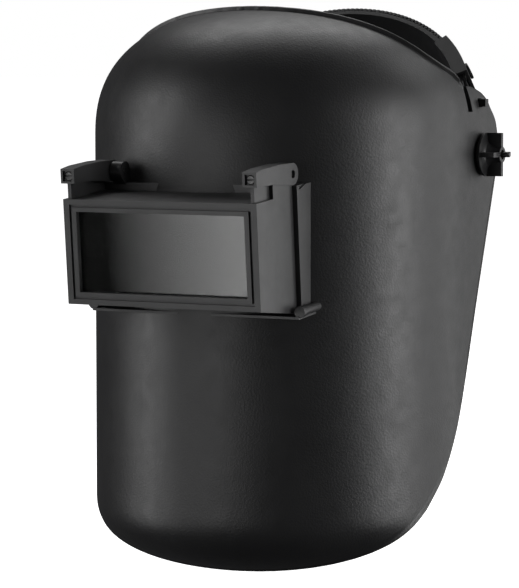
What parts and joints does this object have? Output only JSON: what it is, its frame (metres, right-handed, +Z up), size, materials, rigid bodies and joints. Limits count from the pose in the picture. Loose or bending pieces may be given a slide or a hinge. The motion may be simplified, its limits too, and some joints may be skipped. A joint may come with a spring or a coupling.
{
  "type": "welding helmet",
  "caption": "Flip-front welding helmet: black domed face shell on side pivots, hinged filter holder over a window, and adjustable headgear with a crown strap.",
  "frame": {"origin": "middle of the line between the two tilt pivots", "axes": "+X to the wearer's left, which is the side the picture shows, -Y where the face looks, +Z up"},
  "size_m": [0.2538, 0.302, 0.3146],
  "materials": {
    "shell_plastic": "fine leather grain, satin black",
    "holder_plastic": "moulded satin black",
    "headgear_plastic": "smooth satin black",
    "knob_plastic": "moulded satin black",
    "pad_foam": "stitched foam sweatband",
    "bright_steel": "zinc plated",
    "blackened_steel": "blackened",
    "insert_brass": "turned",
    "clear_plate": "clear",
    "dark_filter": "dark green-black, polished",
    "washer_fibre": "pressed fibre"
  },
  "bodies": {
    "headgear": {"headband": "headgear_plastic", "brow_pad": "pad_foam", "rear_band_left": "headgear_plastic", "rear_band_right": "headgear_plastic", "band_rivet_left": "bright_steel", "band_rivet_right": "bright_steel", "side_bracket_left": "headgear_plastic", "side_bracket_right": "headgear_plastic", "strap_rivet_left": "bright_steel", "strap_rivet_right": "bright_steel", "crown_strap_left": "headgear_plastic", "crown_strap_right": "headgear_plastic", "crown_buckle": "headgear_plastic", "crown_peg": "headgear_plastic", "pivot_bolt_left": "blackened_steel", "pivot_bolt_right": "blackened_steel", "friction_washer_left": "washer_fibre", "friction_washer_right": "washer_fibre", "ratchet_housing": "headgear_plastic", "ratchet_cover": "headgear_plastic", "ratchet_screw": "bright_steel", "nape_pad": "pad_foam"},
    "shell": {"shell": "shell_plastic", "base_frame": "holder_plastic", "shell_retainer": "holder_plastic", "inner_cover_plate": "clear_plate", "inner_plate_clip": "holder_plastic", "hinge_pin_left": "blackened_steel", "hinge_pin_right": "blackened_steel", "frame_screw_upper_left": "bright_steel", "frame_screw_upper_right": "bright_steel", "frame_screw_lower_left": "bright_steel", "frame_screw_lower_right": "bright_steel", "tilt_stop_plate_left": "headgear_plastic", "tilt_stop_plate_right": "headgear_plastic", "outer_washer_left": "washer_fibre", "outer_washer_right": "washer_fibre"},
    "flip_front": {"front_housing": "holder_plastic", "front_cover_plate": "clear_plate", "filter_plate": "dark_filter", "filter_retainer": "headgear_plastic", "tension_screw_left": "blackened_steel", "tension_screw_right": "blackened_steel", "friction_spring_left": "bright_steel", "friction_spring_right": "bright_steel", "friction_plug_left": "headgear_plastic", "friction_plug_right": "headgear_plastic"},
    "wing_knob_left": {"wing_knob_left": "knob_plastic", "knob_insert_left": "insert_brass"},
    "wing_knob_right": {"wing_knob_right": "knob_plastic", "knob_insert_right": "insert_brass"},
    "ratchet_knob": {"ratchet_knob": "knob_plastic", "ratchet_pinion": "headgear_plastic"}
  },
  "joints": [
    {"name": "shell_tilt", "type": "hinge", "parent": "headgear", "child": "shell", "pos_m": [0, 0, 0], "axis": [-1, 0, 0], "range_deg": [0, 70]},
    {"name": "front_flip", "type": "hinge", "parent": "shell", "child": "flip_front", "pos_m": [0, -0.13717, -0.00757], "axis": [-1, 0, 0], "range_deg": [0, 95]},
    {"name": "wing_knob_left_turn", "type": "hinge", "parent": "headgear", "child": "wing_knob_left", "pos_m": [-0.112, 0, 0], "axis": [-1, 0, 0], "continuous": true},
    {"name": "wing_knob_right_turn", "type": "hinge", "parent": "headgear", "child": "wing_knob_right", "pos_m": [0.112, 0, 0], "axis": [1, 0, 0], "continuous": true},
    {"name": "ratchet_knob_turn", "type": "hinge", "parent": "headgear", "child": "ratchet_knob", "pos_m": [0, 0.1, 0.007], "axis": [0, 1, 0], "continuous": true}
  ]
}
